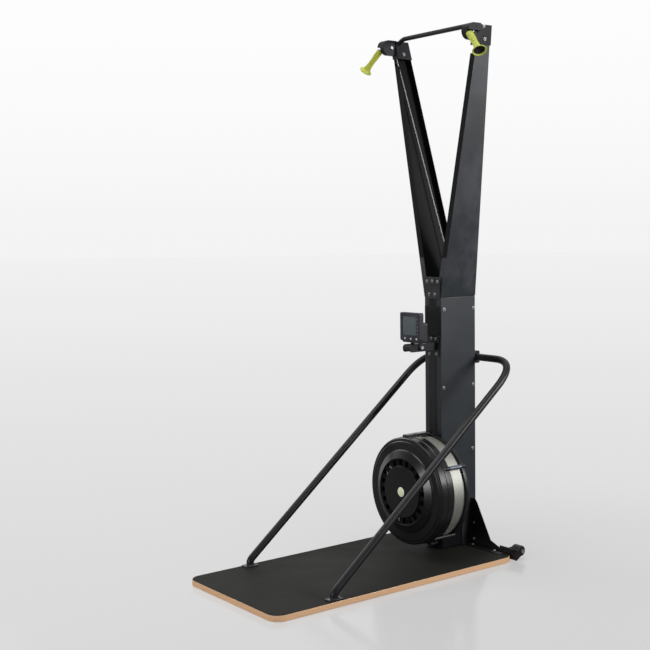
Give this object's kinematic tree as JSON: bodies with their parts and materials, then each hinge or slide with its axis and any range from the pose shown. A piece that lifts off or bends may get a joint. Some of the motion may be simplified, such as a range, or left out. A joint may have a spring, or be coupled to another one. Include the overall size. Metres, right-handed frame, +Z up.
{
  "type": "ski trainer machine",
  "caption": "Standing ski trainer: a column with two arms and pull handles on cords, driven by an air fan, on a plywood platform with braces and transport wheels.",
  "frame": {"origin": "on the floor, below the middle of the machine's length and on its plane of symmetry", "axes": "+Z up, +Y towards the column and the transport wheels, +X to the right of the column as seen by a user who faces it from -Y"},
  "size_m": [0.7282, 1.2576, 2.179],
  "materials": {
    "plywood": "lacquered birch plywood, layers shown on the edge",
    "deck_sheet": "smooth matt black sheet",
    "panel_paint": "satin dark blue-grey paint",
    "black_paint": "satin black powder coat",
    "tube_paint": "satin black powder coat",
    "black_plastic": "moulded black plastic",
    "fan_plastic": "moulded black plastic, slightly glossy",
    "grey_nylon": "moulded nylon",
    "bright_steel": "zinc plated",
    "perforated_band": "fine perforated sheet",
    "lime_grip": "lime moulded grip",
    "pull_cord": "braided light grey cord",
    "elastic_cord": "black elastic cord",
    "pale_cap": "pale green-white cap",
    "wheel_rubber": "black solid rubber",
    "display_plastic": "dark grey moulded case",
    "display_screen": "grey-green liquid crystal behind a clear window",
    "button_rubber": "grey rubber key"
  },
  "bodies": {
    "root": {"platform_board": "plywood", "platform_mat": "deck_sheet", "column_channel": "panel_paint", "arm_left": "panel_paint", "arm_right": "panel_paint", "base_bracket": "black_paint", "column_cover": "black_plastic", "junction_plate": "black_paint", "pulley_housing_left": "black_plastic", "pulley_housing_right": "black_plastic", "pulley_pin_left": "bright_steel", "pulley_pin_right": "bright_steel", "crossbar": "black_paint", "drive_cord_left": "pull_cord", "drive_cord_right": "pull_cord", "guide_bracket": "bright_steel", "return_cord": "elastic_cord", "return_bracket": "bright_steel", "fan_front_cover": "fan_plastic", "fan_band": "perforated_band", "fan_back_housing": "fan_plastic", "centre_cap": "pale_cap", "fan_mount_plate": "black_paint", "front_bearing": "bright_steel", "rear_bearing": "bright_steel", "brace_left": "tube_paint", "brace_right": "tube_paint", "brace_clamp": "black_paint", "wheel_bracket_left": "black_paint", "wheel_bracket_right": "black_paint", "wheel_axle_left": "bright_steel", "wheel_axle_right": "bright_steel", "monitor_bracket": "black_paint"},
    "handle_left": {"handle_left": "lime_grip"},
    "handle_right": {"handle_right": "lime_grip"},
    "top_pulley_left": {"top_pulley_left": "grey_nylon"},
    "top_pulley_right": {"top_pulley_right": "grey_nylon"},
    "guide_pulley_left": {"guide_pulley_left": "grey_nylon"},
    "guide_pulley_right": {"guide_pulley_right": "grey_nylon"},
    "cord_drum_left": {"cord_drum_left": "grey_nylon"},
    "cord_drum_right": {"cord_drum_right": "grey_nylon"},
    "flywheel": {"flywheel": "grey_nylon", "drive_shaft": "bright_steel"},
    "return_pulley": {"return_pulley": "grey_nylon"},
    "damper_ring": {"damper_ring": "fan_plastic"},
    "display": {"monitor_front": "display_plastic", "monitor_screen": "display_screen", "monitor_back": "display_plastic"},
    "monitor_knob": {"monitor_knob": "bright_steel"},
    "button_bottom_1": {"button_bottom_1": "button_rubber"},
    "button_bottom_2": {"button_bottom_2": "button_rubber"},
    "button_bottom_3": {"button_bottom_3": "button_rubber"},
    "button_side_1": {"button_side_1": "button_rubber"},
    "button_side_2": {"button_side_2": "button_rubber"},
    "button_side_3": {"button_side_3": "button_rubber"},
    "button_side_4": {"button_side_4": "button_rubber"},
    "button_side_5": {"button_side_5": "button_rubber"},
    "wheel_left": {"wheel_left": "wheel_rubber"},
    "wheel_right": {"wheel_right": "wheel_rubber"}
  },
  "joints": [
    {"name": "handle_left_pull", "type": "slide", "parent": "root", "child": "handle_left", "axis": [0, -0.37, -0.929], "range_m": [0, 1.4], "stiffness_N_per_m": 15, "springref_m": -1},
    {"name": "handle_right_pull", "type": "slide", "parent": "root", "child": "handle_right", "axis": [0, -0.37, -0.929], "range_m": [0, 1.4], "stiffness_N_per_m": 15, "springref_m": -1},
    {"name": "top_pulley_left_turn", "type": "hinge", "parent": "root", "child": "top_pulley_left", "pos_m": [-0.2465, 0.3877, 2.136], "axis": [1, 0, 0], "continuous": true},
    {"name": "top_pulley_right_turn", "type": "hinge", "parent": "root", "child": "top_pulley_right", "pos_m": [0.2465, 0.3877, 2.136], "axis": [1, 0, 0], "continuous": true},
    {"name": "guide_pulley_left_turn", "type": "hinge", "parent": "root", "child": "guide_pulley_left", "pos_m": [-0.0278, 0.5612, 1.07], "axis": [0, 1, 0], "continuous": true},
    {"name": "guide_pulley_right_turn", "type": "hinge", "parent": "root", "child": "guide_pulley_right", "pos_m": [0.0278, 0.5312, 1.07], "axis": [0, 1, 0], "continuous": true},
    {"name": "cord_drum_left_turn", "type": "hinge", "parent": "root", "child": "cord_drum_left", "pos_m": [0, 0.5612, 0.29], "axis": [0, 1, 0], "continuous": true},
    {"name": "cord_drum_right_turn", "type": "hinge", "parent": "root", "child": "cord_drum_right", "pos_m": [0, 0.5312, 0.29], "axis": [0, 1, 0], "continuous": true},
    {"name": "flywheel_spin", "type": "hinge", "parent": "root", "child": "flywheel", "pos_m": [0, 0.3332, 0.29], "axis": [0, 1, 0], "continuous": true},
    {"name": "return_pulley_turn", "type": "hinge", "parent": "root", "child": "return_pulley", "pos_m": [0, 0.5462, 0.87], "axis": [0, 1, 0], "continuous": true},
    {"name": "damper_turn", "type": "hinge", "parent": "root", "child": "damper_ring", "pos_m": [0, 0.2265, 0.29], "axis": [0, -1, 0], "range_deg": [0, 9]},
    {"name": "display_tilt", "type": "hinge", "parent": "root", "child": "display", "pos_m": [0, 0.3092, 0.883], "axis": [1, 0, 0], "range_deg": [-20, 10]},
    {"name": "monitor_knob_turn", "type": "hinge", "parent": "root", "child": "monitor_knob", "pos_m": [0, 0.3092, 0.883], "axis": [1, 0, 0], "continuous": true},
    {"name": "button_bottom_1_press", "type": "slide", "parent": "display", "child": "button_bottom_1", "axis": [0, 1, 0], "range_m": [0, 0.0012], "stiffness_N_per_m": 400, "springref_m": -0.0005},
    {"name": "button_bottom_2_press", "type": "slide", "parent": "display", "child": "button_bottom_2", "axis": [0, 1, 0], "range_m": [0, 0.0012], "stiffness_N_per_m": 400, "springref_m": -0.0005},
    {"name": "button_bottom_3_press", "type": "slide", "parent": "display", "child": "button_bottom_3", "axis": [0, 1, 0], "range_m": [0, 0.0012], "stiffness_N_per_m": 400, "springref_m": -0.0005},
    {"name": "button_side_1_press", "type": "slide", "parent": "display", "child": "button_side_1", "axis": [0, 1, 0], "range_m": [0, 0.0012], "stiffness_N_per_m": 400, "springref_m": -0.0005},
    {"name": "button_side_2_press", "type": "slide", "parent": "display", "child": "button_side_2", "axis": [0, 1, 0], "range_m": [0, 0.0012], "stiffness_N_per_m": 400, "springref_m": -0.0005},
    {"name": "button_side_3_press", "type": "slide", "parent": "display", "child": "button_side_3", "axis": [0, 1, 0], "range_m": [0, 0.0012], "stiffness_N_per_m": 400, "springref_m": -0.0005},
    {"name": "button_side_4_press", "type": "slide", "parent": "display", "child": "button_side_4", "axis": [0, 1, 0], "range_m": [0, 0.0012], "stiffness_N_per_m": 400, "springref_m": -0.0005},
    {"name": "button_side_5_press", "type": "slide", "parent": "display", "child": "button_side_5", "axis": [0, 1, 0], "range_m": [0, 0.0012], "stiffness_N_per_m": 400, "springref_m": -0.0005},
    {"name": "wheel_left_turn", "type": "hinge", "parent": "root", "child": "wheel_left", "pos_m": [-0.286, 0.6062, 0.037], "axis": [1, 0, 0], "continuous": true},
    {"name": "wheel_right_turn", "type": "hinge", "parent": "root", "child": "wheel_right", "pos_m": [0.286, 0.6062, 0.037], "axis": [1, 0, 0], "continuous": true}
  ],
  "couplings": [
    {"joint": "top_pulley_left_turn", "follows": "handle_left_pull", "rad_per_m": 43.86},
    {"joint": "guide_pulley_left_turn", "follows": "handle_left_pull", "rad_per_m": -72.46},
    {"joint": "cord_drum_left_turn", "follows": "handle_left_pull", "rad_per_m": 41.67},
    {"joint": "top_pulley_right_turn", "follows": "handle_right_pull", "rad_per_m": 43.86},
    {"joint": "guide_pulley_right_turn", "follows": "handle_right_pull", "rad_per_m": 72.46},
    {"joint": "cord_drum_right_turn", "follows": "handle_right_pull", "rad_per_m": -41.67}
  ]
}
